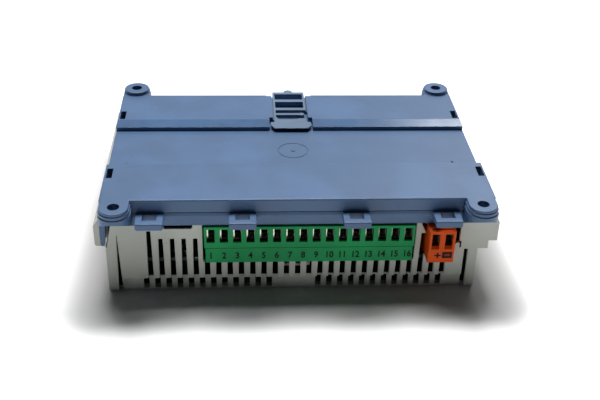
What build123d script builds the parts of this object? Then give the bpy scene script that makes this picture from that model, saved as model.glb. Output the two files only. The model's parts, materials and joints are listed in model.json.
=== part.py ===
from build123d import *
import os

# Controller module for a 35 mm rail or a flat wall, standing on its front face.
# Frame: +Z up (towards the wall side of the base), -Y is the terminal side, +X to the right.
# Origin at the centre of the footprint, z = 0 is the front face. Millimetres.

# ---- overall stack, heights above the front face --------------------------------
HEIGHT = 42.0             # front face to wall face
REAR_TOP = 40.5           # back half of the base, a little lower than the wall face
RAIL_FLOOR = 38.15        # floor of the rail recess
RAMP_LOW = 39.8           # recess edge of the sloped strip behind the rail
TIER = 36.55              # ledge round the base skirt, level with the eyelets
RIM = 31.1                # where the base skirt sits on the cover
LIP = 6.2                 # lower edge of the proud louvre panel
PROUD = 1.1               # how far the louvre panel stands out from the foot of the wall

# ---- base -------------------------------------------------------------------------
BASE_X = 75.0             # half width of the base
SKIRT_X = 75.4            # half width of its lower skirt
BASE_Y = 46.2             # half depth of the base
SKIRT_Y = 46.7            # half depth of its lower skirt
PLATE = 2.0               # general wall thickness of the base
RAIL_WIDTH = 35.3         # opening for a 35 mm rail
RAIL_BACK = 15.95         # y of the recess edge under the latch
RAIL_FRONT = RAIL_BACK - RAIL_WIDTH
RAIL_HOOK = 1.25          # undercut that holds the fixed side of the rail
RAMP_BACK = 21.95
LUG_X, LUG_Y = 69.0, 50.5  # screw lug centres
LUG_R = 5.5
LUG_FLAT = 74.7           # the lug rings are cut flush with the side of the base here
LUG_BORE_R = 2.25
LEDGE_EASE = 0.33         # width of the steep chamfer on the ledge of the skirt
GATE_X, GATE_Y = -0.2, -1.8  # moulding gate mark in the recess floor
GATE_R = 6.3
EYELET_X = (21.5, 56.2)
EYELET_HALF = 5.2
EYELET_OUT = 54.25
EYELET_T = 2.9
SNAP_Y = 26.1             # snap windows in the side edges
SNAP_HALF = 3.6
SNAP_IN, SNAP_OUT = 71.8, 74.1
HOOK_END = 21.9           # lower end of the corner hooks

# ---- rail latch -------------------------------------------------------------------
LATCH_X = 7.2             # half width of the ladder frame
LATCH_LOW, LATCH_TOP = 38.4, 40.0
LATCH_REAR = 49.9
PULL_BAR = 47.8           # front of the last crossbar, which hangs down behind the base
PULL_LOW = 36.5
LATCH_CROSSBARS = ((39.9, 42.2), (31.7, 34.0))
LATCH_RAIL_W = 0.9        # side rails of the ladder
FINGER = (27.0, 28.8)     # the sprung detent finger, front and back
TONGUE = 0.8              # thickness of the tongues that run in the channel grooves
TONGUE_REAR = 46.0
NOSE_FRONT = 14.6         # tip of the lip over the rail
NOSE_ROOT = 16.5
LIP_TIP, LIP_ROOT = 0.4, 0.7  # thickness of that lip
WING = 8.8                # half width over the wings of the nose
CHANNEL_X = 7.7
CHANNEL_GROOVE = 0.75
CHANNEL_WELL = 35.3       # floor of the well below the ladder
BAY_X = 9.4
BAY_BACK = 23.6
LATCH_TRAVEL = 3.0
WING_BACK = BAY_BACK - LATCH_TRAVEL - 0.1

# ---- cover ------------------------------------------------------------------------
COVER_LEFT, COVER_RIGHT = -74.0, 70.8
COVER_Y = 46.4
WALL_IN_Y = 43.9          # inner face of the front and back walls
CAVITY_LEFT, CAVITY_RIGHT = -72.2, 69.0
FLOOR_T = 2.0
WING_X = 77.8
PANEL_LEFT, PANEL_RIGHT = -68.3, 65.5
SLOT_PITCH = 4.41
SLOT_COUNT = 27
SLOT_W = 2.2              # louvre width at its lower end
SLOT_TAPER = 0.028        # narrowing per millimetre of height
SLOT_LOW = 6.8
SLOT_TOP = 24.8
FOOT_SLOT_PITCH = 4.38

# ---- connectors -------------------------------------------------------------------
POLE_PITCH = 5.08
TERM_POLES = 16
TERM_X0 = -33.77          # first pole of the 16-way connector
TERM_FRONT = -47.6
POWER_POLES = 2
POWER_X0 = 52.26
POWER_FRONT = -52.3
PIN_Z = 19.7
PIN = 1.0
NOSE_LOW, NOSE_TOP = 16.2, 25.2  # height range of the plug noses
CLAMP_IN = 4.7            # clamp screw axis behind the front of its plug
CAGE_LOW, CAGE_TOP = 19.4, 29.1  # height range of the clamp cages

# ---- boards -----------------------------------------------------------------------
BOARD_T = 1.6
MAIN_Z = 11.9
MAIN_TOP = MAIN_Z + BOARD_T
LOGIC_Z = 25.0
LOGIC_TOP = LOGIC_Z + BOARD_T
MAIN_SCREWS = [(-66, -38), (-43, -38), (64.5, -38), (-66, 38), (0, 38), (64.5, 38)]
LOGIC_SCREWS = [(-62, -20), (-8, -20), (-62, 32), (-8, 32)]
LED_XS = [30 + 4 * i for i in range(8)]
LED_Y = -10
BUS_X = 24.0              # bus socket on the back wall
BUS_HALF = 8.0


def block(x0, x1, y0, y1, z0, z1):
    return Pos((x0 + x1) / 2, (y0 + y1) / 2, (z0 + z1) / 2) * Box(x1 - x0, y1 - y0, z1 - z0)


def rod(x, y, z0, z1, radius):
    return Pos(x, y, (z0 + z1) / 2) * Cylinder(radius, z1 - z0)


def prism_x(points, x0, x1):
    """Extrude a (y, z) outline along X."""
    face = Plane.YZ * Polygon(*points, align=None)
    return Pos(x0, 0, 0) * extrude(face, amount=x1 - x0, dir=(1, 0, 0))


def prism_y(points, y0, y1):
    """Extrude an (x, z) outline along Y."""
    face = Plane.XZ * Polygon(*points, align=None)
    return Pos(0, y0, 0) * extrude(face, amount=y1 - y0, dir=(0, 1, 0))


def prism_z(points, z0, z1):
    """Extrude an (x, y) outline along Z."""
    face = Plane.XY * Polygon(*points, align=None)
    return Pos(0, 0, z0) * extrude(face, amount=z1 - z0, dir=(0, 0, 1))


def eased_top(shape, inward, down):
    """Steep chamfer round the top face."""
    top = shape.faces().sort_by(Axis.Z)[-1]
    return chamfer(top.outer_wire().edges(), inward, down, reference=top)


def solids(shapes):
    """Many separate solids as one node."""
    return Compound(children=[s for shape in shapes for s in shape.solids()])


def slot_x(index):
    return (index - (SLOT_COUNT - 1) / 2) * SLOT_PITCH


# =================================== base ==========================================

def lug(sx, sy):
    """Screw lug: a stepped round ear with a wedge under it, running back into its half of the base."""
    x, y = sx * LUG_X, sy * LUG_Y
    span = sorted((sy * (BASE_Y - 3), y))
    root_top = HEIGHT if sy < 0 else REAR_TOP
    ear = rod(x, y, 40.8, HEIGHT, LUG_R)
    if root_top > 40.8:
        ear += block(x - LUG_R, x + LUG_R, *span, 40.8, root_top)
    ear = fillet(ear.edges().group_by(Axis.Z)[-1], 0.4)
    for radius, z0, z1 in ((LUG_R + 0.35, 39.4, 40.8), (LUG_R + 0.7, RIM, 39.4)):
        ring = rod(x, y, z0, z1, radius) + block(x - radius, x + radius, *span, z0, min(z1, root_top))
        ear += ring
    far = sy * (LUG_Y + LUG_R + 2)
    near = sy * SKIRT_Y
    under = prism_x([(near, RIM), (far, 38.6), (far, RIM - 5), (near, RIM - 5)], x - 9, x + 9)
    outside = sorted((sx * LUG_FLAT, sx * (SKIRT_X + 5)))
    return ear - under - block(*outside, *sorted((sy * (BASE_Y - 4), sy * 60)), RIM, HEIGHT)


def eyelet(x, sy):
    """Flat cable-tie eyelet on the skirt ledge."""
    y0, y1 = sorted((sy * (SKIRT_Y - 1), sy * EYELET_OUT))
    tab = block(x - EYELET_HALF, x + EYELET_HALF, y0, y1, TIER - EYELET_T, TIER)
    tab = fillet(tab.edges().filter_by(Axis.Y).sort_by(Axis.Z)[:2], 0.9)
    tab = fillet(tab.edges().filter_by(Axis.Y).sort_by(Axis.Z)[-2:], 0.25)
    tab = fillet(tab.edges().filter_by(Axis.Z).filter_by(lambda e: abs(e.center().Y) > SKIRT_Y + 3), 0.5)
    w0, w1 = sorted((sy * (SKIRT_Y + 0.9), sy * (SKIRT_Y + 4.8)))
    return tab - block(x - 2.7, x + 2.7, w0, w1, 30, 40)


def plateau(y_outer, y_inner, top):
    """One raised half of the base, with eased outer edges."""
    half = block(-BASE_X, BASE_X, *sorted((y_outer, y_inner)), TIER, top)
    corners = half.edges().filter_by(Axis.Z).filter_by(lambda e: abs(e.center().Y - y_outer) < 0.01)
    half = fillet(corners, 1.0)
    rim = half.edges().group_by(Axis.Z)[-1].filter_by(lambda e: abs(e.center().Y - y_inner) > 0.01)
    return fillet(rim, 0.6)


def base_shell():
    lower = block(-SKIRT_X, SKIRT_X, -SKIRT_Y, SKIRT_Y, RIM, TIER)
    lower = eased_top(fillet(lower.edges().filter_by(Axis.Z), 1.2), LEDGE_EASE, 1.2)
    floor = block(-BASE_X, BASE_X, RAIL_FRONT - 1, RAIL_BACK + 1, TIER - 0.5, RAIL_FLOOR)
    ramp = prism_x([(RAIL_BACK - 1, RAMP_LOW), (RAIL_BACK, RAMP_LOW), (RAMP_BACK, REAR_TOP),
                    (RAMP_BACK, REAR_TOP + 1), (RAIL_BACK - 1, REAR_TOP + 1)], -80, 80)
    rear = plateau(BASE_Y, RAIL_BACK, REAR_TOP) - ramp
    return lower + floor + plateau(-BASE_Y, RAIL_FRONT, HEIGHT) + rear


def back_plate():
    plate = base_shell()
    for sy in (-1, 1):
        for sx in (-1, 1):
            plate += lug(sx, sy)
            for x in EYELET_X:
                plate += eyelet(sx * x, sy)
    inner_x, inner_y = SKIRT_X - PLATE, SKIRT_Y - PLATE
    ceiling = RAIL_FLOOR - PLATE
    plate -= block(-inner_x, inner_x, -inner_y, inner_y, RIM - 1, ceiling)
    plate -= block(-73, 73, -(BASE_Y - PLATE), RAIL_FRONT - 3.0, ceiling - 1, HEIGHT - PLATE)
    for sx in (-1, 1):
        x0, x1 = sorted((sx * 11.5, sx * 73))
        plate -= block(x0, x1, RAMP_BACK + 2, BASE_Y - PLATE, ceiling - 1, REAR_TOP - PLATE)
    # closed well under the ladder of the latch
    plate += block(-8.0, 8.0, BAY_BACK - 3, BASE_Y - 1, CHANNEL_WELL - PLATE, ceiling + 0.1)
    plate -= block(-6.4, 6.4, BAY_BACK - 1, BASE_Y - PLATE - 0.2, CHANNEL_WELL, RAIL_FLOOR + 1)
    plate -= block(-80, 80, RAIL_FRONT - RAIL_HOOK, RAIL_FRONT + 1, RAIL_FLOOR, RAIL_FLOOR + RAIL_HOOK)
    for sx in (-1, 1):
        for sy in (-1, 1):
            plate -= rod(sx * LUG_X, sy * LUG_Y, RIM - 1, HEIGHT + 1, LUG_BORE_R)
            x0, x1 = sorted((sx * SNAP_IN, sx * SNAP_OUT))
            plate -= block(x0, x1, sy * SNAP_Y - SNAP_HALF, sy * SNAP_Y + SNAP_HALF, ceiling, HEIGHT + 1)
    # latch channel, open to the rail recess and to the back edge
    plate -= block(-CHANNEL_X, CHANNEL_X, RAIL_BACK - 1, SKIRT_Y + 1, RAIL_FLOOR, HEIGHT)
    groove_x = CHANNEL_X + CHANNEL_GROOVE
    plate -= block(-groove_x, groove_x, BAY_BACK - 1, SKIRT_Y + 1, RAIL_FLOOR, RAIL_FLOOR + 1.25)
    plate -= block(-BAY_X, BAY_X, RAIL_BACK - 1, BAY_BACK, RAIL_FLOOR, HEIGHT)
    for sx in (-1, 1):
        lead = prism_x([(BASE_Y - 1.2, REAR_TOP + 1), (BASE_Y - 1.2, REAR_TOP), (BASE_Y + 1, REAR_TOP - 1.6),
                        (BASE_Y + 1, REAR_TOP + 1)], *sorted((sx * (CHANNEL_X - 1), sx * (CHANNEL_X + 2.4))))
        plate -= lead
    # moulding gate mark and ejector dimple in the recess floor
    ring = Cylinder(GATE_R, 0.3) - Cylinder(GATE_R - 0.35, 0.3)
    plate -= Pos(GATE_X, GATE_Y, RAIL_FLOOR) * ring
    plate += rod(GATE_X, GATE_Y, RAIL_FLOOR - 0.3, RAIL_FLOOR + 0.25, 0.8)
    plate -= rod(65, -12.1, RAIL_FLOOR - 0.4, RAIL_FLOOR + 0.1, 0.5)
    # corner hooks that reach down into the cover at the left end
    for sy in (-1, 1):
        y0, y1 = sorted((sy * SKIRT_Y, sy * (SKIRT_Y - 2)))
        plate += prism_y([(-SKIRT_X, RIM + 0.5), (-73.2, RIM + 0.5), (-73.9, HOOK_END + 0.4),
                          (-74.2, HOOK_END), (-75.1, HOOK_END), (-SKIRT_X, HOOK_END + 0.4)], y0, y1)
    # ribs under the front plateau
    for x in (-48, -24, 0, 24, 48):
        plate += block(x - 0.6, x + 0.6, -(BASE_Y - 1), RAIL_FRONT - 2, ceiling, HEIGHT - 1)
    return plate


# =================================== latch =========================================

def latch_nose():
    """Hooked nose: a plate with two wings, and a thin lip that reaches over the rail."""
    root = prism_z([(-7.0, NOSE_ROOT), (7.0, NOSE_ROOT), (7.0, 23.6), (6.6, 24.0), (4.0, 24.0), (2.5, 23.2),
                    (-4.9, 23.2), (-6.4, 25.3), (-7.0, 25.3)], LATCH_LOW, LATCH_TOP)
    lip = prism_x([(NOSE_FRONT, LATCH_TOP - LIP_TIP), (NOSE_FRONT, LATCH_TOP), (WING_BACK, LATCH_TOP),
                   (WING_BACK, LATCH_TOP - LIP_ROOT), (RAIL_BACK - 0.2, LATCH_TOP - LIP_ROOT)], -WING, WING)
    outline = prism_z([(-7.1, NOSE_FRONT), (7.1, NOSE_FRONT), (WING, NOSE_FRONT + 2.6), (WING, WING_BACK),
                       (-WING, WING_BACK), (-WING, NOSE_FRONT + 2.6)], LATCH_LOW, LATCH_TOP)
    nose = root + (lip & outline)
    return fillet(nose.edges().group_by(Axis.Z)[-1], 0.2)


def rail_latch():
    """Sliding rail latch: ladder frame, detent finger, and a hooked nose over the rail."""
    last_bar = LATCH_CROSSBARS[-1][0]
    body = latch_nose()
    body += block(-LATCH_X, -LATCH_X + LATCH_RAIL_W, NOSE_ROOT + 2, LATCH_REAR, LATCH_LOW, LATCH_TOP)
    body += block(LATCH_X - LATCH_RAIL_W, LATCH_X, last_bar, LATCH_REAR, LATCH_LOW, LATCH_TOP)
    for y0, y1 in LATCH_CROSSBARS:
        body += block(-LATCH_X, LATCH_X, y0, y1, LATCH_LOW, LATCH_TOP)
    body += block(-LATCH_X, LATCH_X, PULL_BAR, LATCH_REAR, PULL_LOW, LATCH_TOP)
    body += block(-LATCH_X, 4.6, *FINGER, LATCH_LOW, LATCH_TOP)
    body += rod(5.0, sum(FINGER) / 2, LATCH_LOW, LATCH_TOP, 1.25)
    # side tongues that run in the channel grooves
    for sx, y0 in ((-1, BAY_BACK + 0.4), (1, last_bar)):
        x0, x1 = sorted((sx * (LATCH_X - 0.5), sx * (CHANNEL_X + CHANNEL_GROOVE - 0.25)))
        body += block(x0, x1, y0, TONGUE_REAR, LATCH_LOW, LATCH_LOW + TONGUE)
    pull = rod(0, LATCH_REAR + 0.2, LATCH_TOP - 1.4, LATCH_TOP, 2.0)
    return body + (pull & block(-3, 3, LATCH_REAR - 0.5, LATCH_REAR + 5, 30, 50))


# =================================== cover =========================================

def louvre_slots(sy, tops):
    """Upper louvres of one wall, as cutters: tops maps the slot index to its upper end."""
    y0, y1 = sorted((sy * (WALL_IN_Y - 1), sy * (COVER_Y + 1)))
    face = sorted((sy * (COVER_Y - PROUD), sy * (COVER_Y + 1)))
    half = SLOT_W / 2
    cuts = []
    for i in range(SLOT_COUNT):
        x, top = slot_x(i), tops.get(i, SLOT_TOP)
        narrow = half - SLOT_TAPER * (top - SLOT_LOW) / 2
        cuts.append(prism_y([(x - half, SLOT_LOW), (x + half, SLOT_LOW), (x + narrow, top),
                             (x - narrow, top)], y0, y1))
        cuts.append(block(x - half, x + half, *face, LIP - 1, SLOT_LOW + 0.1))
    return cuts


def foot_slots(sy):
    """Short louvres below the panel lip, in two groups of twelve."""
    y0, y1 = sorted((sy * (WALL_IN_Y - 1), sy * (COVER_Y - 0.6)))
    cuts = []
    for first in (-59.3, 8.3):
        for i in range(12):
            x = first + i * FOOT_SLOT_PITCH
            cuts.append(block(x - SLOT_W / 2, x + SLOT_W / 2, y0, y1, 0.8, 6.0))
    return cuts


def wall_relief(sy):
    """Recessed foot of the wall and the gaps that set off the two end posts."""
    def span(inner, outer):
        return sorted((sy * inner, sy * outer))
    cuts = [block(PANEL_LEFT, PANEL_RIGHT, *span(COVER_Y - PROUD, COVER_Y + 1), -1, LIP)]
    depth = span(WALL_IN_Y - 0.3, COVER_Y + 1)
    cuts.append(prism_y([(-69.5, 26.6), (-70.3, -1), (-68.2, -1), (-68.7, 8), (-69.3, 26.6)], *depth))
    cuts.append(prism_y([(65.3, 18.6), (65.5, -1), (67.3, -1), (66.9, 18.6)], *depth))
    cuts.append(block(COVER_LEFT - 1, -69.9, *span(COVER_Y - 0.25, COVER_Y + 1), -1, 20))
    cuts.append(block(67.0, COVER_RIGHT + 1, *span(COVER_Y - 0.25, COVER_Y + 1), -1, 18.8))
    return cuts


def cover_outer():
    body = block(COVER_LEFT, COVER_RIGHT, -COVER_Y, COVER_Y, 0, RIM)
    body = fillet(body.edges().filter_by(Axis.Z), 0.6)
    body = chamfer(body.edges().group_by(Axis.Z)[0], 0.5)
    right = [(COVER_RIGHT - 2, 18.8), (74.5, 18.8), (74.5, 22.45), (WING_X, 22.45), (WING_X, 31.0),
             (76.0, 33.4), (SKIRT_X + 0.1, 33.4), (SKIRT_X + 0.1, RIM), (COVER_RIGHT - 2, RIM)]
    left = [(COVER_LEFT + 2, 21.9), (-WING_X + 0.6, 21.9), (-WING_X, 22.5), (-WING_X, 31.0),
            (-76.0, 33.4), (-SKIRT_X - 0.1, 33.4), (-SKIRT_X - 0.1, RIM), (COVER_LEFT + 2, RIM)]
    return body + prism_y(right, -COVER_Y, COVER_Y) + prism_y(left, -COVER_Y, COVER_Y)


def connector_windows():
    """Cut-outs of the terminal wall, open at the rim."""
    y0, y1 = -COVER_Y - 1, -WALL_IN_Y + 1
    term_end = TERM_X0 + (TERM_POLES - 0.5) * POLE_PITCH
    term = block(TERM_X0 - POLE_PITCH / 2 - 0.6, term_end + 0.5, y0, y1, 13.9, RIM + 1)
    power = prism_y([(47.4, RIM + 1), (47.4, 30.6), (49.2, 26.8), (49.2, 15.9), (60.5, 15.9), (60.5, 20.4),
                     (62.4, 21.6), (63.2, 21.6), (63.2, 19.3), (63.9, 19.3), (63.9, 22.0), (63.0, 22.6),
                     (63.0, RIM + 1)], y0, y1)
    notch = block(-51.6, -40.6, y0, y1, 29.3, RIM + 1)
    notch = fillet(notch.edges().filter_by(Axis.Y).sort_by(Axis.Z)[:2], 0.7)
    sill = prism_x([(-COVER_Y + 0.7, 29.4), (y1, 27.2), (y1, 29.4)], -51.0, -41.2)
    return [term, power, notch, sill]


def housing():
    body = cover_outer()
    body -= block(CAVITY_LEFT, CAVITY_RIGHT, -WALL_IN_Y, WALL_IN_Y, FLOOR_T, RIM + 1)
    body -= block(-71.4, 71.4, -WALL_IN_Y, WALL_IN_Y, 24.5, RIM + 1)
    front_tops = {0: 28.3, 24: 26.3}
    front_tops.update({i: 14.5 for i in range(5, 24)})
    front_tops.update({25: 16.5, 26: 16.5})
    back_tops = {i: 12.0 for i in range(SLOT_COUNT) if abs(slot_x(i) - BUS_X) < BUS_HALF + 2.5}
    cuts = louvre_slots(-1, front_tops) + louvre_slots(1, back_tops)
    for sy in (-1, 1):
        cuts += foot_slots(sy) + wall_relief(sy)
        # corner notch for the base hook
        y0, y1 = sorted((sy * (WALL_IN_Y - 2.5), sy * (COVER_Y + 1)))
        cuts.append(prism_y([(-SKIRT_X - 0.1, RIM + 0.1), (-SKIRT_X - 0.1, HOOK_END - 0.9),
                             (-73.4, HOOK_END - 0.9), (-71.4, RIM + 0.1)], y0, y1))
    cuts += connector_windows()
    cuts.append(block(BUS_X - BUS_HALF - 0.3, BUS_X + BUS_HALF + 0.3, WALL_IN_Y - 1, COVER_Y + 1,
                      MAIN_TOP + 0.2, MAIN_TOP + 13.8))
    # front face: label recess and light-pipe holes
    cuts.append(block(-60.2, 20.2, -24.2, 24.2, -1, 0.9))
    cuts += [rod(x, LED_Y, -1, FLOOR_T + 1, 1.55) for x in LED_XS]
    body -= cuts
    for x, y in MAIN_SCREWS:
        body += rod(x, y, FLOOR_T - 0.5, MAIN_Z, 3.2)
    body -= [rod(x, y, 4, MAIN_Z + 1, 1.25) for x, y in MAIN_SCREWS]
    # snap tongues that catch in the side windows of the base
    for sx in (-1, 1):
        for sy in (-1, 1):
            x0, x1 = sorted((sx * 71.9, sx * 72.7))
            body += block(x0, x1, sy * SNAP_Y - 2.6, sy * SNAP_Y + 2.6, 30.6, 37.6)
            barb = [(sx * 72.6, 37.6), (sx * 73.5, 36.5), (sx * 72.6, 36.5)]
            body += prism_y(barb, sy * SNAP_Y - 2.6, sy * SNAP_Y + 2.6)
            root = sorted((sx * 71.4, sx * 73.0))
            body += block(*root, sy * SNAP_Y - 2.6, sy * SNAP_Y + 2.6, 29.5, RIM)
    return body


def front_label():
    plate = block(-60, 20, -24, 24, 0.2, 0.9)
    return fillet(plate.edges().filter_by(Axis.Z), 1.0)


def light_pipes():
    pipes = [rod(x, LED_Y, 0.15, 9.9, 1.5) + rod(x, LED_Y, FLOOR_T, FLOOR_T + 1, 2.0) for x in LED_XS]
    return solids(pipes)


# ================================ connectors =======================================

def pole_xs(x0, poles):
    return [x0 + i * POLE_PITCH for i in range(poles)]


def wire_entry(x, y_front, half, top, mid, low):
    """Square wire entry with a sloping floor."""
    outline = [(y_front - 0.6, low), (y_front, low), (y_front + 2.2, mid), (y_front + 2.2, top),
               (y_front - 0.6, top)]
    return prism_x(outline, x - half, x + half)


def plug_body(x0, poles, y_front, z_low, z_top, entry):
    """Detachable screw-clamp plug: front block, nose for the header, one bay per pole."""
    left, right = x0 - POLE_PITCH / 2, x0 + (poles - 0.5) * POLE_PITCH
    y_back = y_front + 8.7
    body = block(left, right, y_front, y_back, z_low, z_top)
    body = fillet(body.edges().filter_by(lambda e: abs(e.center().Y - y_front) < 0.01), 0.25)
    body += block(left + 1.0, right - 1.0, y_back - 0.2, y_back + 9.0, NOSE_LOW, NOSE_TOP)
    cuts = []
    for x in pole_xs(x0, poles):
        cuts.append(block(x - 2.1, x + 2.1, y_front + 2.0, y_front + 7.4, CAGE_LOW - 0.2, CAGE_TOP + 0.2))
        cuts.append(rod(x, y_front + CLAMP_IN, z_low - 1, CAGE_LOW, 2.0))
        cuts.append(wire_entry(x, y_front, *entry))
        cuts.append(block(x - 1.15, x + 1.15, y_front + 7, y_back + 10, PIN_Z - 1.15, PIN_Z + 1.15))
    return body, cuts


def terminal_plug():
    body, cuts = plug_body(TERM_X0, TERM_POLES, TERM_FRONT, 14.4, 30.7, (1.55, 29.5, 23.7, 23.6))
    left = TERM_X0 - POLE_PITCH / 2
    right = TERM_X0 + (TERM_POLES - 0.5) * POLE_PITCH
    strip_top = 21.0
    body += block(left + 0.5, right - 0.4, TERM_FRONT - 0.15, TERM_FRONT + 1, 14.4, strip_top)
    for x in (left, right):
        cuts.append(block(x - 0.5, x + 0.5, TERM_FRONT - 1, TERM_FRONT + 6, 14, strip_top))
    return body - cuts


def power_plug():
    body, cuts = plug_body(POWER_X0, POWER_POLES, POWER_FRONT, 16.4, 30.9, (1.5, 29.5, 24.6, 22.6))
    x = POWER_X0 + POLE_PITCH / 2
    cuts.append(block(x - 4.2, x + 4.2, POWER_FRONT + 0.9, POWER_FRONT + 1.9, 30.2, 32))
    body += prism_x([(POWER_FRONT + 2.6, 30.8), (POWER_FRONT + 3.4, 31.0), (POWER_FRONT + 5.4, 31.0),
                     (POWER_FRONT + 5.4, 30.8)], x - 3.4, x + 3.4)
    return body - cuts


def clamp_cages(x0, poles, y_front):
    """Rising clamp cage of each pole, thicker on the side where the sheet overlaps."""
    cages = []
    y = y_front + CLAMP_IN
    for x in pole_xs(x0, poles):
        cage = block(x - 2.0, x + 2.0, y - 2.5, y + 2.5, CAGE_LOW, CAGE_TOP)
        cage -= block(x - 1.0, x + 1.5, y - 3, y + 3, 23.8, CAGE_TOP - 0.6)
        cage -= rod(x, y, 19, 24.2, 1.35)
        cages.append(cage)
    return solids(cages)


def clamp_screws(x0, poles, y_front, z_low):
    """Slotted screw of each pole, worked from below."""
    screws = []
    y = y_front + CLAMP_IN
    for x in pole_xs(x0, poles):
        screw = rod(x, y, z_low + 0.6, z_low + 2.8, 1.85) + rod(x, y, z_low + 2.8, 23.6, 1.3)
        screw -= block(x - 2, x + 2, y - 0.3, y + 0.3, z_low + 0.5, z_low + 1.5)
        screws.append(screw)
    return solids(screws)


def plug_contacts(x0, poles, y_front):
    """Sprung socket contact of each pole."""
    contacts = []
    y0, y1 = y_front + 7.5, y_front + 17.3
    for x in pole_xs(x0, poles):
        tube = block(x - 1.0, x + 1.0, y0, y1, PIN_Z - 1.0, PIN_Z + 1.0)
        tube -= block(x - 0.65, x + 0.65, y0 + 1, y1 + 1, PIN_Z - 0.65, PIN_Z + 0.65)
        contacts.append(tube)
    return solids(contacts)


def header_shell(x0, poles, y_front):
    """Open-fronted shroud that the plug nose slides into."""
    left, right = x0 - POLE_PITCH / 2, x0 + (poles - 0.5) * POLE_PITCH
    y0 = y_front + 9.0
    shell = block(left + 0.05, right - 0.05, y0, y0 + 11.0, MAIN_TOP, 26.9)
    shell -= block(left + 0.75, right - 0.75, y0 - 1, y0 + 9.2, NOSE_LOW - 0.3, NOSE_TOP + 0.3)
    shell -= [block(x - 0.55, x + 0.55, y0 + 8, y0 + 12, PIN_Z - 0.55, PIN_Z + 0.55)
              for x in pole_xs(x0, poles)]
    return shell


def header_pins(x0, poles, y_front):
    """Right-angle pins from the shroud down through the board."""
    pins = []
    y0 = y_front + 9.0
    for x in pole_xs(x0, poles):
        pin = block(x - PIN / 2, x + PIN / 2, y0 + 0.8, y0 + 13.0, PIN_Z - PIN / 2, PIN_Z + PIN / 2)
        pin += block(x - PIN / 2, x + PIN / 2, y0 + 12.0, y0 + 13.0, 10.9, PIN_Z)
        pins.append(pin)
    return solids(pins)


def pin_holes(x0, poles, y_front):
    return [rod(x, y_front + 21.5, 5, 15, 0.8) for x in pole_xs(x0, poles)]


# ================================== boards =========================================

def main_board():
    board = block(-71, 68, -42.8, 42.8, MAIN_Z, MAIN_TOP)
    board -= [rod(x, y, 5, 15, 1.7) for x, y in MAIN_SCREWS]
    board -= pin_holes(TERM_X0, TERM_POLES, TERM_FRONT) + pin_holes(POWER_X0, POWER_POLES, POWER_FRONT)
    return board


def logic_board():
    board = block(-66, -4, -24, 40, LOGIC_Z, LOGIC_TOP)
    return board - [rod(x, y, 20, 30, 1.7) for x, y in LOGIC_SCREWS]


def pan_screws(points, seat, length, radius=1.5):
    screws = []
    for x, y in points:
        screw = rod(x, y, seat, seat + 1.7, radius * 1.9) + rod(x, y, seat - length, seat + 0.2, radius * 0.8)
        screw -= block(x - 2.2, x + 2.2, y - 0.35, y + 0.35, seat + 1.0, seat + 2)
        screw -= block(x - 0.35, x + 0.35, y - 2.2, y + 2.2, seat + 1.0, seat + 2)
        screws.append(screw)
    return solids(screws)


def board_spacers():
    spacers = []
    for x, y in LOGIC_SCREWS:
        post = Pos(x, y, MAIN_TOP) * extrude(RegularPolygon(2.9, 6), amount=LOGIC_Z - MAIN_TOP)
        spacers.append(post - rod(x, y, MAIN_TOP + 2, LOGIC_Z + 1, 1.25))
    return solids(spacers)


def board_connector():
    body = block(-52, -18, 30, 35, MAIN_TOP, LOGIC_Z)
    return body - [rod(x, y, MAIN_TOP - 1, LOGIC_Z + 1, 0.5)
                   for x in [-50 + 2.5 * i for i in range(13)] for y in (31.25, 33.75)]


def board_connector_pins():
    return solids([rod(x, y, MAIN_TOP, LOGIC_Z, 0.45)
                   for x in [-50 + 2.5 * i for i in range(13)] for y in (31.25, 33.75)])


def transformer_core():
    x, y = 28, 6
    core = block(x - 10, x + 10, y - 8, y + 8, MAIN_TOP + 1, 29)
    windows = [block(x - 6.6, x - 3.4, y - 9, y + 9, 17.5, 26), block(x + 3.4, x + 6.6, y - 9, y + 9, 17.5, 26)]
    return core - windows


def transformer_bobbin():
    x, y = 28, 6
    body = block(x - 6.4, x + 6.4, y - 10, y + 10, 17.7, 25.8)
    body -= block(x - 3.5, x + 3.5, y - 11, y + 11, 17, 27)
    for sy in (-1, 1):
        y0, y1 = sorted((y + sy * 8.2, y + sy * 10.5))
        body += block(x - 8.5, x + 8.5, y0, y1, MAIN_TOP, 26.8)
    return body


def capacitors():
    cans = []
    for x, y, radius, top in ((47, -8, 5.0, 29.5), (47, 4, 5.0, 29.5), (47, 16, 4.0, 25.5), (9, -18, 4.0, 25.5)):
        can = rod(x, y, MAIN_TOP, top, radius)
        cans.append(fillet(can.edges().group_by(Axis.Z)[-1], 0.6))
    return solids(cans)


def fuse_clips():
    clips = []
    for y in (-8, 12):
        clip = block(56.8, 63.2, y - 2.5, y + 2.5, MAIN_TOP, 20.5)
        clip -= block(57.4, 62.6, y - 3, y + 3, MAIN_TOP + 0.8, 21)
        clips.append(clip)
    return solids(clips)


def fuse():
    glass = Pos(60, 2, 17.0) * Rot(90, 0, 0) * Cylinder(2.4, 12)
    return glass


def fuse_caps():
    return solids([Pos(60, y, 17.0) * Rot(90, 0, 0) * Cylinder(2.55, 5.5) for y in (-6.75, 10.75)])


def relays():
    cases = []
    for i in range(5):
        x = -58 + 13 * i
        case = block(x - 5, x + 5, -20, -2, MAIN_TOP, 23.8)
        cases.append(fillet(case.edges().group_by(Axis.Z)[-1], 0.5))
    return solids(cases)


def optocouplers():
    return solids([block(x - 2.3, x + 2.3, 4, 10.5, MAIN_TOP, 17.0) for x in [-62 + 6.5 * i for i in range(10)]])


def heatsink():
    sink = block(50, 66, 24, 26, MAIN_TOP, 29)
    for i in range(6):
        x = 50 + 2.9 * i
        sink += block(x, x + 1.3, 26, 33, MAIN_TOP, 29)
    return sink


def regulator():
    return block(53, 63, 19.4, 23.9, MAIN_TOP + 1.5, 26) + block(54.2, 61.8, 20.4, 22.4, MAIN_TOP, 15.5)


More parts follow.
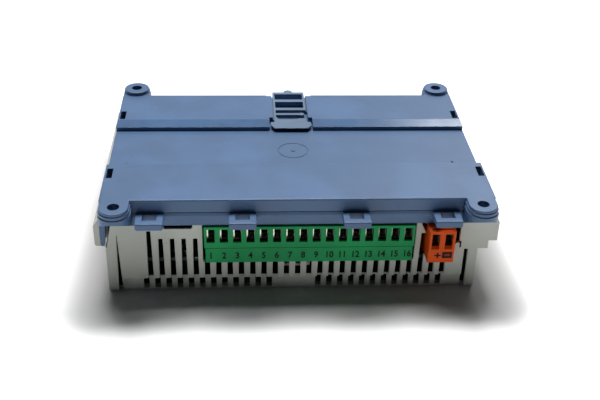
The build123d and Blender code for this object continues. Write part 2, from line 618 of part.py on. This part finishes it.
def varistors():
    discs = []
    for x in (50.5, 61.5):
        disc = Pos(x, -22.5, 20.5) * Rot(90, 0, 0) * Cylinder(5.0, 4)
        leads = [rod(x + dx, -22.5, MAIN_TOP, 18, 0.4) for dx in (-2.5, 2.5)]
        discs.append(disc + leads)
    return solids(discs)


def bus_socket():
    """Shielded modular jack on the back wall."""
    x0, x1 = BUS_X - BUS_HALF, BUS_X + BUS_HALF
    y_out = COVER_Y - 0.2
    shell = block(x0, x1, y_out - 16, y_out, MAIN_TOP + 0.3, MAIN_TOP + 13.5)
    return shell - block(x0 + 0.5, x1 - 0.5, y_out - 15.4, y_out + 1, MAIN_TOP + 0.8, MAIN_TOP + 13.0)


def bus_socket_insert():
    x0, x1 = BUS_X - BUS_HALF + 0.55, BUS_X + BUS_HALF - 0.55
    y_out = COVER_Y - 0.5
    body = block(x0, x1, y_out - 15.0, y_out, MAIN_TOP + 0.85, MAIN_TOP + 12.95)
    body -= block(BUS_X - 6, BUS_X + 6, y_out - 11, y_out + 1, MAIN_TOP + 3.0, MAIN_TOP + 10.2)
    body -= block(BUS_X - 3.1, BUS_X + 3.1, y_out - 11, y_out + 1, MAIN_TOP + 1.6, MAIN_TOP + 3.5)
    return body


def bus_contacts():
    wires = []
    y_out = COVER_Y - 0.5
    for i in range(8):
        x = BUS_X + (i - 3.5) * 1.02
        wires.append(prism_x([(y_out - 10.9, 23.6), (y_out - 10.9, 23.1), (y_out - 3.4, 19.6),
                              (y_out - 3.0, 20.0)], x - 0.2, x + 0.2))
    return solids(wires)


def logic_chip(x, y, width, depth, height=1.4):
    chip = block(x - width / 2, x + width / 2, y - depth / 2, y + depth / 2, LOGIC_TOP, LOGIC_TOP + height)
    return chamfer(chip.edges().group_by(Axis.Z)[-1], 0.2)


def memory_chips():
    return solids([logic_chip(-20, 12, 8, 14), logic_chip(-20, -6, 8, 14)])


def crystal():
    body = block(-60, -49, -2, 2.6, LOGIC_TOP, LOGIC_TOP + 3.4)
    return fillet(body.edges().filter_by(Axis.Z), 2.0)


def backup_capacitor():
    return Pos(-52, 22, LOGIC_TOP) * extrude(Circle(6.5), amount=5.0)


def jumper_link():
    """Tinned link on the underside of the main board, behind the middle louvres."""
    bar_low, bar_top = 8.6, 9.6
    x0, x1, leg = -6.6, 5.0, 0.8
    link = block(x0, x1, -42.4, -41.6, bar_low, bar_top)
    for left in (x0, x1 - leg):
        link += block(left, left + leg, -42.4, -41.6, bar_low, MAIN_Z)
    return link


def status_leds():
    return solids([block(x - 1.1, x + 1.1, LED_Y - 0.8, LED_Y + 0.8, 10.6, MAIN_Z) for x in LED_XS])


def write_parts():
    term = (TERM_X0, TERM_POLES, TERM_FRONT)
    power = (POWER_X0, POWER_POLES, POWER_FRONT)
    nodes = {
        "back_plate": back_plate(),
        "rail_latch": rail_latch(),
        "housing": housing(),
        "front_label": front_label(),
        "light_pipes": light_pipes(),
        "main_board": main_board(),
        "logic_board": logic_board(),
        "main_board_screws": pan_screws(MAIN_SCREWS, MAIN_TOP, 7.5),
        "logic_board_screws": pan_screws(LOGIC_SCREWS, LOGIC_TOP, 6.5),
        "board_spacers": board_spacers(),
        "board_connector": board_connector(),
        "board_connector_pins": board_connector_pins(),
        "terminal_plug": terminal_plug(),
        "terminal_clamps": clamp_cages(*term),
        "terminal_screws": clamp_screws(*term, 14.4),
        "terminal_contacts": plug_contacts(*term),
        "terminal_header": header_shell(*term),
        "terminal_header_pins": header_pins(*term),
        "power_plug": power_plug(),
        "power_clamps": clamp_cages(*power),
        "power_screws": clamp_screws(*power, 16.4),
        "power_contacts": plug_contacts(*power),
        "power_header": header_shell(*power),
        "power_header_pins": header_pins(*power),
        "transformer_core": transformer_core(),
        "transformer_bobbin": transformer_bobbin(),
        "capacitors": capacitors(),
        "fuse_tube": fuse(),
        "fuse_caps": fuse_caps(),
        "fuse_clips": fuse_clips(),
        "output_relays": relays(),
        "optocouplers": optocouplers(),
        "regulator": regulator(),
        "regulator_heatsink": heatsink(),
        "varistors": varistors(),
        "bus_socket_shell": bus_socket(),
        "bus_socket_insert": bus_socket_insert(),
        "bus_socket_contacts": bus_contacts(),
        "microcontroller": logic_chip(-38, 6, 14, 14),
        "memory_chips": memory_chips(),
        "crystal": crystal(),
        "backup_capacitor": backup_capacitor(),
        "status_leds": status_leds(),
        "jumper_link": jumper_link(),
    }
    os.makedirs("parts", exist_ok=True)
    for name, shape in nodes.items():
        export_step(shape, f"parts/{name}.step")


write_parts()
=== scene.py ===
import json
import math

import bpy
from mathutils import Matrix, Vector


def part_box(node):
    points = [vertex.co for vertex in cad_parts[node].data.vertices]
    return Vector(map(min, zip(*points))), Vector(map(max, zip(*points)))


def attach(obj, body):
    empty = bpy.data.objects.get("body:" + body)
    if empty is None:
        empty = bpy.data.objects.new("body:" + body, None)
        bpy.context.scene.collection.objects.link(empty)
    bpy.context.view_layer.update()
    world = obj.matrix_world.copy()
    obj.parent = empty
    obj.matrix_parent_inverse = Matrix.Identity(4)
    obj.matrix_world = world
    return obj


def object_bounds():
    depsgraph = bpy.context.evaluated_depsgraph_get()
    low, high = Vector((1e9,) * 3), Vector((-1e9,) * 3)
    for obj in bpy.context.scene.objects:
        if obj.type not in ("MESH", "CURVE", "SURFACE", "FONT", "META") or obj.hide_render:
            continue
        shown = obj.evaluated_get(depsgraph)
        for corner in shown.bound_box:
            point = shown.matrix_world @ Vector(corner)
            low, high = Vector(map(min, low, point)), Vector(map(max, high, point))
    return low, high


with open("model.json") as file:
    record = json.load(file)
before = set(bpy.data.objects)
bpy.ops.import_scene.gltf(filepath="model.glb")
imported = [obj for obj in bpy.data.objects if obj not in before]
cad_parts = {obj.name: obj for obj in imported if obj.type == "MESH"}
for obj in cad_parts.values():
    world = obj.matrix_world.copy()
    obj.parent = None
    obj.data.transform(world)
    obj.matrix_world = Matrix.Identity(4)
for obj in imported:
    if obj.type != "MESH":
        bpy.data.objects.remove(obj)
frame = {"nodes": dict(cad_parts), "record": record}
cad_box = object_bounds()
MM = 0.001

# ---- camera ------------------------------------------------------------------------
CAMERA_AT = Vector((-22.54, -344.91, 230.53)) * MM
CAMERA_YAW, CAMERA_PITCH, CAMERA_ROLL = (math.radians(a) for a in (4.323, -32.221, 1.855))
CAMERA_LENS = 56.57

# ---- plastics, as linear colours -----------------------------------------------------
BLUE = (0.056, 0.125, 0.256)
BLUE_WORN = (0.26, 0.34, 0.47)
LATCH_BLUE = (0.114, 0.180, 0.281)
GREY = (0.50, 0.527, 0.474)
GREY_WORN = (0.64, 0.66, 0.61)
GREEN = (0.012, 0.300, 0.092)
GREEN_WORN = (0.07, 0.42, 0.19)
ORANGE = (0.66, 0.072, 0.002)
ORANGE_WORN = (0.80, 0.18, 0.03)
INK = (0.004, 0.007, 0.006)

# ---- regions with painted shade, or with their own finish, as opposite corners in millimetres ---
# painted shade inside the cover, where the louvres and foot slots look in
COVER_INSIDE_PAINTED_SHADE = ((-73.0, -45.0, 0.9), (69.8, 45.0, 43))
# painted shade in the wire entries of the long plug and of the power plug
LONG_PLUG_PAINTED_SHADE = ((-36.0, -46.6, 22.6), (44.6, -38.0, 29.9))
POWER_PLUG_PAINTED_SHADE = ((49.8, -51.2, 21.4), (59.7, -43.0, 29.9))
SLOPED_STRIP = ((-80, 15.9, 39.7), (80, 22.0, 43))
PAINTED_SHADE_FACTOR = 0.03       # share of the colour left in the painted shade
STRIP_POLISH = 0.18       # how much smoother the sloped strip is

# ---- floor with a painted shadow near the object and a painted glow farther away -------
SHADOW_FADE_FROM, SHADOW_FADE_FULL = 4 * MM, 18 * MM  # distance from the object where the painted shadow on the floor fades to white
GLOW_FROM, GLOW_FULL = 9 * MM, 24 * MM    # and where the floor's painted glow comes to full strength
GLOW = 0.46
# colour of the painted shadow right next to the object
NEAR_PAINTED_SHADOW = (0.58, 0.58, 0.58)


# ================================ node helpers =======================================

def new_material(name, **constants):
    """A material with a Principled shader, whose constant values sit on its own sockets."""
    material = bpy.data.materials.new(name)
    material.use_nodes = True
    tree = material.node_tree
    shader = tree.nodes["Principled BSDF"]
    for socket, value in constants.items():
        shader.inputs[socket.replace("_", " ")].default_value = value
    return material, tree, shader


def add(tree, kind, settings=None, **inputs):
    """A node with its settings and inputs; an input given as a socket is linked."""
    node = tree.nodes.new("ShaderNode" + kind)
    for key, value in (settings or {}).items():
        setattr(node, key, value)
    for key, value in inputs.items():
        socket = node.inputs[key.replace("_", " ")]
        if isinstance(value, bpy.types.NodeSocket):
            tree.links.new(value, socket)
        else:
            socket.default_value = value
    return node


def rgba(colour):
    return (*colour, 1.0)


def place(tree, scale=(1, 1, 1)):
    """Coordinates in metres in the part's own frame, stretched by scale."""
    coordinates = add(tree, "TexCoord").outputs["Object"]
    return add(tree, "Mapping", Vector=coordinates, Scale=scale).outputs["Vector"]


def noise(tree, size_mm, detail=2.0, roughness=0.5, stretch=(1, 1, 1)):
    """Noise whose features are about size_mm across, from 0 to 1."""
    made = add(tree, "TexNoise", Vector=place(tree, stretch), Scale=1 / (size_mm * MM), Detail=detail,
               Roughness=roughness)
    return made.outputs["Fac"]


def ramp(tree, value, low, high):
    """0 below low, 1 above high, smooth between."""
    made = add(tree, "MapRange", {"interpolation_type": "SMOOTHSTEP"}, Value=value)
    made.inputs["From Min"].default_value = low
    made.inputs["From Max"].default_value = high
    return made.outputs["Result"]


def math_node(tree, operation, a, b):
    node = tree.nodes.new("ShaderNodeMath")
    node.operation = operation
    for socket, value in zip(node.inputs, (a, b)):
        if isinstance(value, bpy.types.NodeSocket):
            tree.links.new(value, socket)
        else:
            socket.default_value = value
    return node.outputs[0]


def mix(tree, factor, a, b):
    """Mix of two colours, each a tuple or a socket."""
    node = add(tree, "Mix", {"data_type": "RGBA"})
    pairs = ((node.inputs[0], factor), (node.inputs[6], a), (node.inputs[7], b))
    for socket, value in pairs:
        if isinstance(value, bpy.types.NodeSocket):
            tree.links.new(value, socket)
        elif isinstance(value, tuple):
            socket.default_value = rgba(value)
        else:
            socket.default_value = value
    return node.outputs[2]


def box_mask(tree, low, high):
    """1 inside a box whose corners are in millimetres, 0 outside."""
    coordinates = add(tree, "SeparateXYZ", Vector=place(tree)).outputs
    mask = 1.0
    for coordinate, a, b in zip(coordinates, low, high):
        centred = math_node(tree, "SUBTRACT", coordinate, (a + b) / 2 * MM)
        near = math_node(tree, "LESS_THAN", math_node(tree, "ABSOLUTE", centred, 0.0), (b - a) / 2 * MM)
        mask = math_node(tree, "MULTIPLY", mask, near)
    return mask


def scaled(tree, value, low, high):
    """A 0 to 1 value spread from low to high."""
    node = add(tree, "MapRange", Value=value)
    node.inputs["To Min"].default_value = low
    node.inputs["To Max"].default_value = high
    return node.outputs["Result"]


def rounded_normal(tree, radius_mm):
    return add(tree, "Bevel", {"samples": 4}, Radius=radius_mm * MM).outputs["Normal"]


def edge_mask(tree, rounded):
    """1 along sharp edges, where the rounded normal leaves the true one."""
    flat = add(tree, "NewGeometry").outputs["True Normal"]
    dot = add(tree, "VectorMath", {"operation": "DOT_PRODUCT"})
    tree.links.new(rounded, dot.inputs[0])
    tree.links.new(flat, dot.inputs[1])
    lost = math_node(tree, "SUBTRACT", 1.0, dot.outputs["Value"])
    return ramp(tree, lost, 0.03, 0.30)


def bump(tree, height, strength, distance_mm, normal):
    node = add(tree, "Bump", Height=height, Strength=strength, Distance=distance_mm * MM, Normal=normal)
    return node.outputs["Normal"]


def link(tree, shader, **sockets):
    for name, value in sockets.items():
        tree.links.new(value, shader.inputs[name.replace("_", " ")])


# ================================== materials ========================================

def moulded(name, colour, worn, rough=0.45, grain=0.35, edge=0.30, scuffs=0.5, spots=0.0, gloss=0.42,
            painted_shade_box=None, smooth_box=None):
    """Textured moulded plastic: fine grain, cloudy shading, handled edges, scratches and specks.

    In the box given for painted shade the colour is nearly black, and inside smooth_box the surface is
    smoother.
    """
    material, tree, shader = new_material(name, IOR=1.5, Specular_IOR_Level=gloss)
    rounded = rounded_normal(tree, edge)
    edges = edge_mask(tree, rounded)
    cloud = noise(tree, 26, detail=3)
    grain_height = noise(tree, grain, detail=3, roughness=0.6)
    darker = tuple(c * 0.88 for c in colour)
    lighter = tuple(min(1.0, c * 1.08) for c in colour)
    shade = mix(tree, ramp(tree, cloud, 0.35, 0.65), darker, lighter)
    speckle = ramp(tree, grain_height, 0.30, 0.75)
    shade = mix(tree, math_node(tree, "MULTIPLY", speckle, 0.10), shade, worn)
    # long hairline scratches, only here and there
    hair = noise(tree, 14, detail=6, roughness=0.75, stretch=(1, 34, 6))
    patches = ramp(tree, noise(tree, 38, detail=1), 0.50, 0.62)
    scratches = math_node(tree, "MULTIPLY", ramp(tree, hair, 0.665, 0.70), patches)
    scratches = math_node(tree, "MULTIPLY", scratches, scuffs)
    shade = mix(tree, scratches, shade, worn)
    rubbed = math_node(tree, "MULTIPLY", edges, ramp(tree, noise(tree, 3.2, detail=4), 0.38, 0.66))
    shade = mix(tree, math_node(tree, "MULTIPLY", rubbed, 0.55), shade, worn)
    if spots:
        cells = add(tree, "TexVoronoi", Vector=place(tree), Scale=1 / (9 * MM)).outputs["Distance"]
        dots = math_node(tree, "MULTIPLY", math_node(tree, "SUBTRACT", 1.0, ramp(tree, cells, 0.025, 0.05)),
                         ramp(tree, noise(tree, 17, detail=0), 0.56, 0.60))
        shade = mix(tree, math_node(tree, "MULTIPLY", dots, spots), shade, tuple(c * 0.25 for c in colour))
    roughness = scaled(tree, noise(tree, 6, detail=4), rough - 0.07, rough + 0.09)
    roughness = math_node(tree, "ADD", roughness, math_node(tree, "MULTIPLY", scratches, 0.12))
    # painted shade: the colour is made nearly black inside the given box
    if painted_shade_box:
        shade = mix(tree, box_mask(tree, *painted_shade_box), shade, tuple(c * PAINTED_SHADE_FACTOR for c in colour))
    if smooth_box:
        polish = math_node(tree, "MULTIPLY", box_mask(tree, *smooth_box), STRIP_POLISH)
        roughness = math_node(tree, "SUBTRACT", roughness, polish)
    normal = bump(tree, grain_height, 0.35, 0.02, rounded)
    normal = bump(tree, hair, 0.04, 0.05, normal)
    link(tree, shader, Base_Color=shade, Roughness=roughness, Normal=normal)
    return material


def metal(name, colour, rough=0.3, brush=(1, 1, 30), tarnish=0.35):
    """Plated metal with fine brushing and dull patches."""
    material, tree, shader = new_material(name, Metallic=1.0, IOR=1.5)
    rounded = rounded_normal(tree, 0.08)
    lines = noise(tree, 1.1, detail=4, roughness=0.7, stretch=brush)
    dull = ramp(tree, noise(tree, 1.7, detail=4), 0.42, 0.68)
    shade = mix(tree, math_node(tree, "MULTIPLY", dull, tarnish), colour, tuple(c * 0.45 for c in colour))
    roughness = math_node(tree, "ADD", scaled(tree, lines, rough - 0.1, rough + 0.12),
                          math_node(tree, "MULTIPLY", dull, 0.18))
    link(tree, shader, Base_Color=shade, Roughness=roughness, Normal=bump(tree, lines, 0.2, 0.01, rounded))
    return material


def circuit_board(name):
    """Green solder mask over fine copper tracks, with tinned pads."""
    material, tree, shader = new_material(name, IOR=1.5, Coat_Weight=0.4, Coat_Roughness=0.2)
    grid = add(tree, "TexBrick", {"offset": 0.37, "squash": 0.7, "squash_frequency": 3}, Vector=place(tree),
               Scale=1 / (9 * MM), Mortar_Size=0.035, Mortar_Smooth=0.1, Bias=0.0)
    routed = ramp(tree, noise(tree, 8, detail=1), 0.42, 0.5)
    tracks = math_node(tree, "MULTIPLY", grid.outputs["Fac"], routed)
    mask = mix(tree, noise(tree, 30), (0.003, 0.020, 0.010), (0.005, 0.032, 0.015))
    shade = mix(tree, math_node(tree, "MULTIPLY", tracks, 0.7), mask, (0.012, 0.065, 0.028))
    cells = add(tree, "TexVoronoi", Vector=place(tree), Scale=1 / (3.2 * MM)).outputs["Distance"]
    pads = math_node(tree, "SUBTRACT", 1.0, ramp(tree, cells, 0.11, 0.14))
    pads = math_node(tree, "MULTIPLY", pads, ramp(tree, noise(tree, 11, detail=0), 0.52, 0.55))
    shade = mix(tree, pads, shade, (0.55, 0.54, 0.50))
    normal = bump(tree, tracks, 0.3, 0.04, rounded_normal(tree, 0.1))
    roughness = scaled(tree, noise(tree, 4), 0.28, 0.42)
    metallic = math_node(tree, "MULTIPLY", pads, 0.8)
    link(tree, shader, Base_Color=shade, Roughness=roughness, Metallic=metallic, Normal=normal)
    return material


def clear_plastic(name):
    material, tree, shader = new_material(name, Transmission_Weight=0.85, IOR=1.49)
    haze = noise(tree, 1.2, detail=3)
    shade = mix(tree, haze, (0.80, 0.86, 0.84), (0.92, 0.95, 0.94))
    normal = bump(tree, haze, 0.1, 0.02, rounded_normal(tree, 0.15))
    link(tree, shader, Base_Color=shade, Roughness=scaled(tree, haze, 0.06, 0.20), Normal=normal)
    return material


def wound_tape(name):
    """Layers of yellow tape round a winding."""
    material, tree, shader = new_material(name, IOR=1.45)
    bands = add(tree, "TexWave", {"bands_direction": "Z"}, Vector=place(tree), Scale=1 / (7 * MM),
                Distortion=0.6, Detail=2.0).outputs["Fac"]
    shade = mix(tree, ramp(tree, bands, 0.2, 0.8), (0.50, 0.33, 0.05), (0.68, 0.50, 0.10))
    link(tree, shader, Base_Color=shade, Roughness=scaled(tree, noise(tree, 2), 0.25, 0.45),
         Normal=bump(tree, bands, 0.5, 0.1, rounded_normal(tree, 0.2)))
    return material


def printed_film(name):
    """Matt grey label film with a linen texture."""
    material, tree, shader = new_material(name, IOR=1.46, Specular_IOR_Level=0.35)
    fibres = noise(tree, 0.5, detail=4, stretch=(1, 5, 1))
    cloud = ramp(tree, noise(tree, 30, detail=2), 0.3, 0.7)
    shade = mix(tree, cloud, (0.60, 0.61, 0.60), (0.68, 0.69, 0.68))
    link(tree, shader, Base_Color=shade, Roughness=scaled(tree, fibres, 0.45, 0.62),
         Normal=bump(tree, fibres, 0.25, 0.02, rounded_normal(tree, 0.2)))
    return material


def ink(name):
    """Pad-printed ink: nearly black, with slightly uneven colour."""
    material, tree, shader = new_material(name, IOR=1.45, Specular_IOR_Level=0.15)
    grains = noise(tree, 0.22, detail=3)
    shade = mix(tree, ramp(tree, grains, 0.50, 0.85), INK, (0.010, 0.028, 0.018))
    link(tree, shader, Base_Color=shade, Roughness=scaled(tree, grains, 0.4, 0.6))
    return material


def pale_floor(name):
    """White floor with a painted shadow, greyer close to the object, and a painted glow farther away."""
    material, tree, shader = new_material(name, IOR=1.45, Specular_IOR_Level=0.3,
                                          Emission_Color=(1, 1, 1, 1))
    paper = noise(tree, 1.5, detail=4)
    away = add(tree, "VectorMath", {"operation": "ABSOLUTE"})
    tree.links.new(place(tree), away.inputs[0])
    outside = add(tree, "VectorMath", {"operation": "SUBTRACT"})
    tree.links.new(away.outputs[0], outside.inputs[0])
    outside.inputs[1].default_value = (cad_box[1].x, cad_box[1].y, 0)
    beyond = add(tree, "VectorMath", {"operation": "MAXIMUM"})
    tree.links.new(outside.outputs[0], beyond.inputs[0])
    gap = add(tree, "VectorMath", {"operation": "LENGTH"})
    tree.links.new(beyond.outputs[0], gap.inputs[0])
    # painted shadow and painted glow, both set by the distance from the object's outline
    clear = ramp(tree, gap.outputs["Value"], SHADOW_FADE_FROM, SHADOW_FADE_FULL)
    glow = scaled(tree, ramp(tree, gap.outputs["Value"], GLOW_FROM, GLOW_FULL), 0.0, GLOW)
    link(tree, shader, Emission_Strength=glow)
    shade = mix(tree, noise(tree, 300, detail=2), (0.86, 0.86, 0.86), (0.90, 0.90, 0.90))
    shade = mix(tree, clear, NEAR_PAINTED_SHADOW, shade)
    link(tree, shader, Base_Color=shade, Roughness=scaled(tree, paper, 0.45, 0.60))
    return material


def slot_materials():
    """One material for each of the record's material slots."""
    return {
        "base_plastic": moulded("base_plastic", BLUE, BLUE_WORN, rough=0.40, scuffs=0.45, spots=0.8,
                                smooth_box=SLOPED_STRIP),
        "latch_plastic": moulded("latch_plastic", LATCH_BLUE, BLUE_WORN, rough=0.30, edge=0.45, scuffs=0.3),
        "cover_plastic": moulded("cover_plastic", GREY, GREY_WORN, rough=0.50, scuffs=0.3, spots=0.4,
                                 painted_shade_box=COVER_INSIDE_PAINTED_SHADE),
        "label_film": printed_film("label_film"),
        "clear_plastic": clear_plastic("clear_plastic"),
        "green_plastic": moulded("green_plastic", GREEN, GREEN_WORN, rough=0.42, grain=0.22, edge=0.15,
                                 gloss=0.12, painted_shade_box=LONG_PLUG_PAINTED_SHADE),
        "orange_plastic": moulded("orange_plastic", ORANGE, ORANGE_WORN, rough=0.40, grain=0.22, edge=0.18,
                                  gloss=0.12, painted_shade_box=POWER_PLUG_PAINTED_SHADE),
        "header_green_plastic": moulded("header_green_plastic", GREEN, GREEN_WORN, grain=0.22, edge=0.15),
        "header_orange_plastic": moulded("header_orange_plastic", ORANGE, ORANGE_WORN, grain=0.22,
                                         edge=0.15),
        "zinc_steel": metal("zinc_steel", (0.66, 0.66, 0.63)),
        "tinned_contact": metal("tinned_contact", (0.78, 0.77, 0.73), rough=0.25),
        "gold_contact": metal("gold_contact", (0.90, 0.66, 0.26), rough=0.22, tarnish=0.15),
        "brass_cage": metal("brass_cage", (0.82, 0.78, 0.66), rough=0.28),
        "board_green": circuit_board("board_green"),
        "black_plastic": moulded("black_plastic", (0.018, 0.018, 0.020), (0.12, 0.12, 0.12), rough=0.45),
        "white_nylon": moulded("white_nylon", (0.70, 0.69, 0.62), (0.85, 0.84, 0.80), rough=0.40),
        "relay_plastic": moulded("relay_plastic", (0.03, 0.055, 0.11), (0.12, 0.16, 0.22), rough=0.30),
        "ferrite": moulded("ferrite", (0.045, 0.045, 0.046), (0.16, 0.16, 0.16), rough=0.55, grain=0.18),
        "bobbin_yellow": wound_tape("bobbin_yellow"),
        "can_sleeve": moulded("can_sleeve", (0.012, 0.016, 0.035), (0.20, 0.20, 0.22), rough=0.25),
        "fuse_glass": clear_plastic("fuse_glass"),
        "disc_blue": moulded("disc_blue", (0.03, 0.09, 0.32), (0.15, 0.22, 0.45), rough=0.28),
        "sink_aluminium": metal("sink_aluminium", (0.80, 0.80, 0.80), rough=0.34, brush=(30, 1, 1)),
        "shield_steel": metal("shield_steel", (0.74, 0.74, 0.72), rough=0.26),
        "led_lens": clear_plastic("led_lens"),
    }


# ============================== marks on the plugs ====================================

def mesh_piece(name, vertices, faces, material, body, slot):
    mesh = bpy.data.meshes.new(name)
    mesh.from_pydata([tuple(v) for v in vertices], [], faces)
    mesh.validate()
    piece = bpy.data.objects.new(name, mesh)
    bpy.context.scene.collection.objects.link(piece)
    piece.data.materials.append(material)
    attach(piece, body)
    return piece


def slab(x0, x1, z0, z1, y_face, thickness):
    """A thin plate standing on a front face, as eight corners and six sides."""
    y1 = y_face - thickness
    corners = [Vector((x, y, z)) for y in (y_face, y1) for x, z in ((x0, z0), (x1, z0), (x1, z1), (x0, z1))]
    sides = [(3, 2, 1, 0), (4, 5, 6, 7), (0, 1, 5, 4), (1, 2, 6, 5), (2, 3, 7, 6), (3, 0, 4, 7)]
    return corners, sides


def joined(parts):
    """Several (corners, sides) pairs as one."""
    corners, sides = [], []
    for more, faces in parts:
        start = len(corners)
        corners += more
        sides += [tuple(start + i for i in face) for face in faces]
    return corners, sides


def numeral_mesh(text, height, width_ratio, stroke):
    """A numeral as a flat mesh in X and Z, centred, of the given height, thickened by stroke."""
    curve = bpy.data.curves.new("numeral_" + text, "FONT")
    curve.body = text
    curve.align_x, curve.align_y = "CENTER", "CENTER"
    curve.size = height * 1.40
    curve.offset = stroke / 2
    curve.extrude = 0.02 * MM
    curve.resolution_u = 6
    maker = bpy.data.objects.new("numeral_" + text, curve)
    mesh = bpy.data.meshes.new_from_object(maker)
    bpy.data.objects.remove(maker)
    bpy.data.curves.remove(curve)
    upright = Matrix.Rotation(math.radians(90), 4, "X") @ Matrix.Diagonal((width_ratio, 1, 1, 1))
    mesh.transform(upright)
    return mesh


def terminal_numbers(material):
    """The numbers 1 to 16 printed along the strip of the long plug."""
    low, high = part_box("terminal_plug")
    pitch, poles = 5.08 * MM, 16
    middle = (low.x + high.x) / 2
    number_z, number_height, thicker = 17.5 * MM, 2.85 * MM, 0.22 * MM
    corners, sides = [], []
    for pole in range(poles):
        mesh = numeral_mesh(str(pole + 1), number_height, 0.84, thicker)
        shift = Vector((middle + (pole - (poles - 1) / 2) * pitch, low.y - 0.02 * MM, number_z))
        start = len(corners)
        corners += [v.co + shift for v in mesh.vertices]
        sides += [tuple(start + i for i in face.vertices) for face in mesh.polygons]
        bpy.data.meshes.remove(mesh)
    return mesh_piece("terminal_numbers", corners, sides, material, "terminal_connector", "green_plastic")


def polarity_marks(material):
    """A plus sign, and an equals sign left clear in a dark box."""
    low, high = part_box("power_plug")
    face = low.y
    plus_x, plus_z, arm, stroke = 53.5 * MM, 19.75 * MM, 1.25 * MM, 0.33 * MM
    depth = 0.04 * MM
    plus = [slab(plus_x - arm, plus_x + arm, plus_z - stroke, plus_z + stroke, face, depth),
            slab(plus_x - stroke, plus_x + stroke, plus_z + stroke, plus_z + arm, face, depth),
            slab(plus_x - stroke, plus_x + stroke, plus_z - arm, plus_z - stroke, face, depth)]
    x0, x1, z0, z1 = (v * MM for v in (55.25, 59.1, 18.5, 21.35))
    rim = 0.75 * MM
    bar, middle = 0.22 * MM, (z0 + z1) / 2
    box = [slab(x0, x1, z0, middle - 2 * bar, face, depth), slab(x0, x1, middle + 2 * bar, z1, face, depth),
           slab(x0, x0 + rim, middle - 2 * bar, middle + 2 * bar, face, depth),
           slab(x1 - rim, x1, middle - 2 * bar, middle + 2 * bar, face, depth),
           slab(x0 + rim, x1 - rim, middle - bar, middle + bar, face, depth)]
    return mesh_piece("polarity_marks", *joined(plus + box), material, "power_connector", "orange_plastic")


# ============================= floor, light and camera ================================

def make_floor():
    mesh = bpy.data.meshes.new("floor")
    half = 3.0
    corners = [(-half, -half, 0), (half, -half, 0), (half, half, 0), (-half, half, 0)]
    mesh.from_pydata(corners, [], [(0, 1, 2, 3)])
    floor = bpy.data.objects.new("floor", mesh)
    bpy.context.scene.collection.objects.link(floor)
    floor.data.materials.append(pale_floor("floor_paper"))
    floor.location.z = cad_box[0].z - 0.0001


def area_light(name, at, target, size, power, colour=(1, 1, 1)):
    data = bpy.data.lights.new(name, "AREA")
    data.shape = "RECTANGLE"
    data.size, data.size_y = size
    data.energy = power
    data.color = colour
    light = bpy.data.objects.new(name, data)
    light.location = at
    light.rotation_mode = "QUATERNION"
    light.rotation_quaternion = (Vector(target) - Vector(at)).to_track_quat("-Z", "Y")
    bpy.context.scene.collection.objects.link(light)
    return light


def make_lights():
    area_light("overhead_softbox", (-0.04, 0.42, 1.06), (0, 0, 0), (0.62, 0.42), 16.5)
    area_light("back_right_softbox", (0.40, 0.90, 0.82), (0.05, 0, 0.03), (0.24, 0.20), 1.9)
    area_light("backdrop", (0, 1.6, 0.75), (0, 0, 0.03), (3.0, 0.6), 4.4)
    world = bpy.data.worlds.new("studio")
    world.use_nodes = True
    background = world.node_tree.nodes["Background"]
    background.inputs["Color"].default_value = (1.0, 1.0, 1.0, 1.0)
    background.inputs["Strength"].default_value = 0.03
    bpy.context.scene.world = world


def make_camera():
    data = bpy.data.cameras.new("camera")
    data.sensor_fit = "HORIZONTAL"
    data.sensor_width = 36
    data.lens = CAMERA_LENS
    data.clip_start, data.clip_end = 0.01, 20
    level = Vector((math.sin(CAMERA_YAW), math.cos(CAMERA_YAW), 0))
    side = Vector((math.cos(CAMERA_YAW), -math.sin(CAMERA_YAW), 0))
    up_axis = Vector((0, 0, 1))
    forward = level * math.cos(CAMERA_PITCH) + up_axis * math.sin(CAMERA_PITCH)
    up = up_axis * math.cos(CAMERA_PITCH) - level * math.sin(CAMERA_PITCH)
    right = side * math.cos(CAMERA_ROLL) + up * math.sin(CAMERA_ROLL)
    up = up * math.cos(CAMERA_ROLL) - side * math.sin(CAMERA_ROLL)
    camera = bpy.data.objects.new("camera", data)
    turn = Matrix((right, up, -forward)).transposed()
    camera.matrix_world = Matrix.Translation(CAMERA_AT) @ turn.to_4x4()
    bpy.context.scene.collection.objects.link(camera)
    bpy.context.scene.camera = camera


# ==================================== scene ===========================================

materials = slot_materials()
for entry in frame["record"]["subparts"]:
    node = frame["nodes"][entry["node"]]
    for material_slot in node.material_slots:
        material_slot.material = materials[entry["material_slot"]]

printing_ink = ink("printing_ink")
terminal_numbers(printing_ink)
polarity_marks(printing_ink)

make_camera()
make_floor()
make_lights()
bpy.context.scene.view_settings.view_transform = "Standard"
